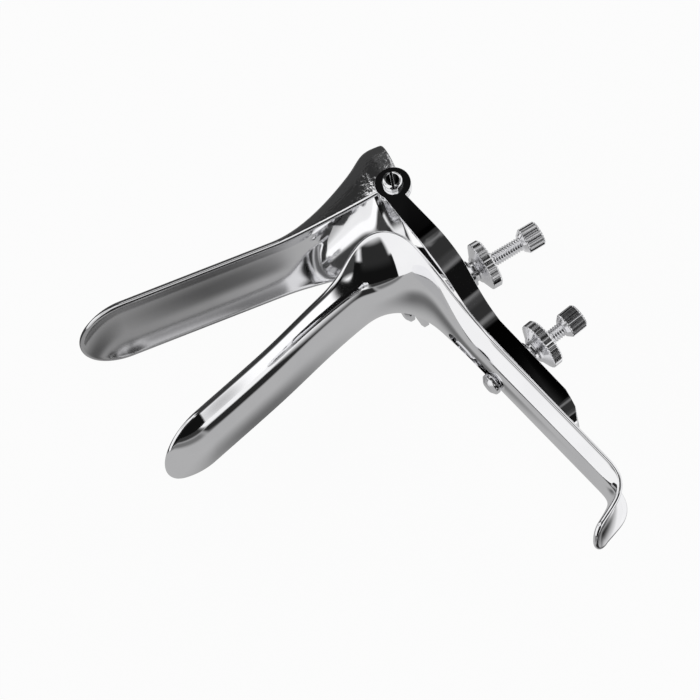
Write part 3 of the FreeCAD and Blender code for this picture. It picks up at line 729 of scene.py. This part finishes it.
head_along, head_reach = turning_profile(head_outline, head_round)
collar_along, collar_reach = turning_profile(collar_outline, collar_round, nut_bore)
nut_along, nut_reach = turning_profile(nut_outline, knurled_round, nut_bore, fine=knurl_spacing)
cap_along, cap_reach = turning_profile(cap_outline, knurled_round, fine=knurl_spacing)
nut_cut = knurl(nut_along, nut_teeth, low=1.6, high=4.9, depth=0.35)
cap_cut = knurl(cap_along, cap_teeth, low=0.9, high=6.4, depth=0.4)
lock_base = np.array([-handle_front, -lock_drop, middle])
lock_collar = handle_front - tongue_back + lock_collar_gap
lock_cap = handle_front + lock_cap_place
opening_base = np.array([-pivot_reach, -pivot_drop, middle - opening_offset])
opening_head = sheet_wall / 2 + swing_clearance
opening_collar = lever_reach / math.cos(opening_tilt) + sheet_wall / 2 + lever_gap
for kind, base, axis, head_gap, collar_start, cap_start, bodies in (
    ("lock", lock_base, x_way, lock_head_gap, lock_collar, lock_cap,
     {"bolt": "yoke_side", "collar": "lock_runner", "nut": "lock_wheel", "cap": "yoke_side"}),
    ("opening", opening_base, rest_axis, opening_head, opening_collar, opening_cap_place,
     {"bolt": "opening_screw", "collar": "opening_runner", "nut": "opening_wheel", "cap": "opening_screw"}),
):
    rod_along = np.arange(-head_gap - rod_in_head, cap_start + rod_in_cap, thread_pitch / thread_rows)
    rod_phase = rod_along[:, None] / thread_pitch - np.linspace(0, 1, thread_columns, endpoint=False)
    rod_reach = np.full(len(rod_along), screw_radius)
    rod_cut = grooves(rod_phase, thread_depth)
    rod = turned_piece(base, axis, rod_along, rod_reach, thread_columns, rod_cut)
    head = turned_piece(base, axis, head_along - head_gap, head_reach)
    collar = turned_piece(base, axis, collar_start + collar_along, collar_reach)
    nut_start = collar_start + collar_to_nut
    nut = turned_piece(base, axis, nut_start + nut_along, nut_reach, nut_teeth * tooth_columns, nut_cut)
    cap = turned_piece(base, axis, cap_start + cap_along, cap_reach, cap_teeth * tooth_columns, cap_cut)
    for part, grids in (
        ("bolt", [(rod, False, True), (head, False, True)]),
        ("collar", [(collar, True, True)]),
        ("nut", [(nut, True, True)]),
        ("cap", [(cap, False, True)]),
    ):
        name = kind + "_screw_" + part
        piece = add_piece(name, mesh_of(name, grids), plated_steel)
        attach(piece, bodies[part])
        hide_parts(kind + "_" + part)

# The camera looks down on the near side at the photograph's angle, from far off.
studio = bpy.context.scene
studio.view_settings.view_transform = "Standard"
camera_data = bpy.data.cameras.new("camera")
camera = bpy.data.objects.new("camera", camera_data)
studio.collection.objects.link(camera)
studio.camera = camera
picture_width = 700
pixels_per_metre = 3500
camera_distance = 5.0
hinge_column = 401.4
hinge_row = 224.5
right_way = np.array([0.764, -0.632, -0.100])
up_way = np.array([0.597, 0.654, 0.460])
right_way /= np.linalg.norm(right_way)
up_way -= right_way * (up_way @ right_way)
up_way /= np.linalg.norm(up_way)
back_way = np.cross(right_way, up_way)
aim = middle / 1000 * z_way
aim = aim - right_way * (hinge_column - picture_width / 2) / pixels_per_metre
aim = aim + up_way * (hinge_row - picture_width / 2) / pixels_per_metre
camera_data.sensor_width = 36
camera_data.lens = pixels_per_metre * camera_distance / picture_width * camera_data.sensor_width
camera_data.clip_end = 20
stand = np.eye(4)
stand[:3, 0] = right_way
stand[:3, 1] = up_way
stand[:3, 2] = back_way
stand[:3, 3] = aim + back_way * camera_distance
camera.matrix_world = Matrix(stand.tolist())

# The instrument lies on a sheet of matt white paper. The camera sees it white, and the
# polished steel mirrors it with patches of painted shade and painted light round the instrument.
sheet_half = 0.42
sheet_white = 0.9
sheet_roughness = 0.9
sheet_glow = 0.95


def soft_step(tree, value, start, end, before, after):
    """A smooth change of level, from before to after, while the value goes from start to end."""
    node = tree.nodes.new("ShaderNodeMapRange")
    node.interpolation_type = "SMOOTHSTEP"
    for name, number in (("From Min", start), ("From Max", end), ("To Min", before), ("To Max", after)):
        node.inputs[name].default_value = number
    tree.links.new(value, node.inputs["Value"])
    return node.outputs["Result"]


def laid_over(tree, tone, level, *sides):
    """The tone with one level laid over it inside a soft-edged window.

    Each side of the window is a value with its low end, high end and soft edge.
    """
    inside = 1.0
    for value, low, high, soft in sides:
        past_low = soft_step(tree, value, low - soft, low + soft, 0.0, 1.0)
        below_high = soft_step(tree, value, high - soft, high + soft, 1.0, 0.0)
        between = worked_out(tree, "MULTIPLY", past_low, below_high)
        inside = worked_out(tree, "MULTIPLY", inside, between)
    return mixed(tree, "FLOAT", inside, tone, level)


floor_height = cad_bounds[0][2]
floor_corners = [
    (x * sheet_half, y * sheet_half, floor_height) for x, y in ((-1, -1), (1, -1), (1, 1), (-1, 1))
]
floor_mesh = bpy.data.meshes.new("white_sheet")
floor_mesh.from_pydata(floor_corners, [], [(0, 1, 2, 3)])
floor = bpy.data.objects.new("white_sheet", floor_mesh)
studio.collection.objects.link(floor)
paper = bpy.data.materials.new("white_paper")
paper.use_nodes = True
paper_tree = paper.node_tree
paper_matt = paper_tree.nodes["Principled BSDF"]
paper_matt.inputs["Base Color"].default_value = (sheet_white, sheet_white, sheet_white, 1)
paper_matt.inputs["Roughness"].default_value = sheet_roughness
paper_place = paper_tree.nodes.new("ShaderNodeTexCoord")
paper_side = paper_tree.nodes.new("ShaderNodeSeparateXYZ")
paper_tree.links.new(paper_place.outputs["Object"], paper_side.inputs[0])

# Each painted patch of shade or light has its span in metres along X and Y, its level and soft edge.
painted_sheet_shade_and_light = 0.45
for across, along, level, soft in (
    ((0.03, 0.9), (-0.9, 0.9), 0.95, 0.02),
    ((-0.9, 0.20), (0.045, 0.9), 0.03, 0.015),
    ((-0.9, -0.03), (-0.9, -0.22), 0.02, 0.03),
    ((-0.9, -0.06), (-0.20, -0.13), 0.16, 0.02),
    ((-0.02, 0.9), (-0.9, -0.22), 1.0, 0.015),
    ((-0.05, 0.012), (-0.21, -0.12), 0.0, 0.01),
    ((-0.08, -0.035), (-0.042, 0.012), 0.14, 0.02),
):
    x_side = (paper_side.outputs["X"], *across, soft)
    y_side = (paper_side.outputs["Y"], *along, soft)
    painted_sheet_shade_and_light = laid_over(paper_tree, painted_sheet_shade_and_light, level, x_side, y_side)
seen = paper_tree.nodes.new("ShaderNodeLightPath").outputs
mirrored = worked_out(paper_tree, "MAXIMUM", seen["Is Glossy Ray"], seen["Is Transmission Ray"])
either = worked_out(paper_tree, "MAXIMUM", seen["Is Camera Ray"], mirrored)
glow = paper_tree.nodes.new("ShaderNodeEmission")
# Reflections in the steel see the sheet with its painted shade and light; the camera sees it plain white.
glow_level = mixed(paper_tree, "FLOAT", mirrored, 1.0, painted_sheet_shade_and_light)
paper_tree.links.new(glow_level, glow.inputs["Strength"])
sheet_mix = paper_tree.nodes.new("ShaderNodeMixShader")
paper_tree.links.new(worked_out(paper_tree, "MULTIPLY", either, sheet_glow), sheet_mix.inputs["Fac"])
paper_tree.links.new(paper_matt.outputs[0], sheet_mix.inputs[1])
paper_tree.links.new(glow.outputs[0], sheet_mix.inputs[2])
paper_tree.links.new(sheet_mix.outputs[0], paper_tree.nodes["Material Output"].inputs["Surface"])
floor_mesh.materials.append(paper)

# The studio is a bright room with dark doorways, and a dark hood hangs where faces that are
# turned straight up mirror it to the camera. Only the steel shows them.
backdrop_level = 0.965
hood_level = 0.02
hood_inside = math.radians(8)
hood_outside = math.radians(14)
room = bpy.data.worlds.new("studio_room")
studio.world = room
room.use_nodes = True
room_tree = room.node_tree
room_way = room_tree.nodes.new("ShaderNodeTexCoord").outputs["Generated"]
room_parts = room_tree.nodes.new("ShaderNodeSeparateXYZ")
room_tree.links.new(room_way, room_parts.inputs[0])
bearing = worked_out(room_tree, "ARCTAN2", room_parts.outputs["Y"], room_parts.outputs["X"])
climb = worked_out(room_tree, "ARCSINE", room_parts.outputs["Z"])

# Each wall or doorway has its span and soft edge round and up, in degrees, and its level.
room_tone = 0.95
for bearings, climbs, level in (
    ((-36, 8, 6), (20, 46, 6), 0.12),
    ((24, 50, 5), (-4, 24, 5), 0.20),
    ((122, 146, 5), (34, 60, 5), 0.25),
    ((-72.5, -40, 0.7), (-20, 12, 0.7), 1.1),
    ((-76, -38, 4), (14, 62, 4), 0.05),
    ((-154, -72.5, 0.7), (-14, 31, 3), 0.006),
    ((-149, -84, 5), (20, 60, 9), 0.025),
    ((-78, 62, 5), (50, 79, 5), 0.03),
    ((70, 104, 4), (-12, 55, 4), 0.03),
    ((58, 74, 5), (-8, 32, 5), 0.06),
):
    bearing_side = (bearing, *np.radians(bearings).tolist())
    climb_side = (climb, *np.radians(climbs).tolist())
    room_tone = laid_over(room_tree, room_tone, level, bearing_side, climb_side)
hood = room_tree.nodes.new("ShaderNodeVectorMath")
hood.operation = "DOT_PRODUCT"
hood.inputs[1].default_value = back_way * (-1, -1, 1)
room_tree.links.new(room_way, hood.inputs[0])
hood_nearness = hood.outputs["Value"]
hooded = soft_step(room_tree, hood_nearness, math.cos(hood_outside), math.cos(hood_inside), 1.0, hood_level)
room_level = worked_out(room_tree, "MULTIPLY", room_tone, hooded)
room_seen = room_tree.nodes.new("ShaderNodeLightPath").outputs["Is Camera Ray"]
room_shown = mixed(room_tree, "FLOAT", room_seen, room_level, backdrop_level)
background = room_tree.nodes["Background"].inputs
background["Color"].default_value = (1, 1, 1, 1)
room_tree.links.new(room_shown, background["Strength"])
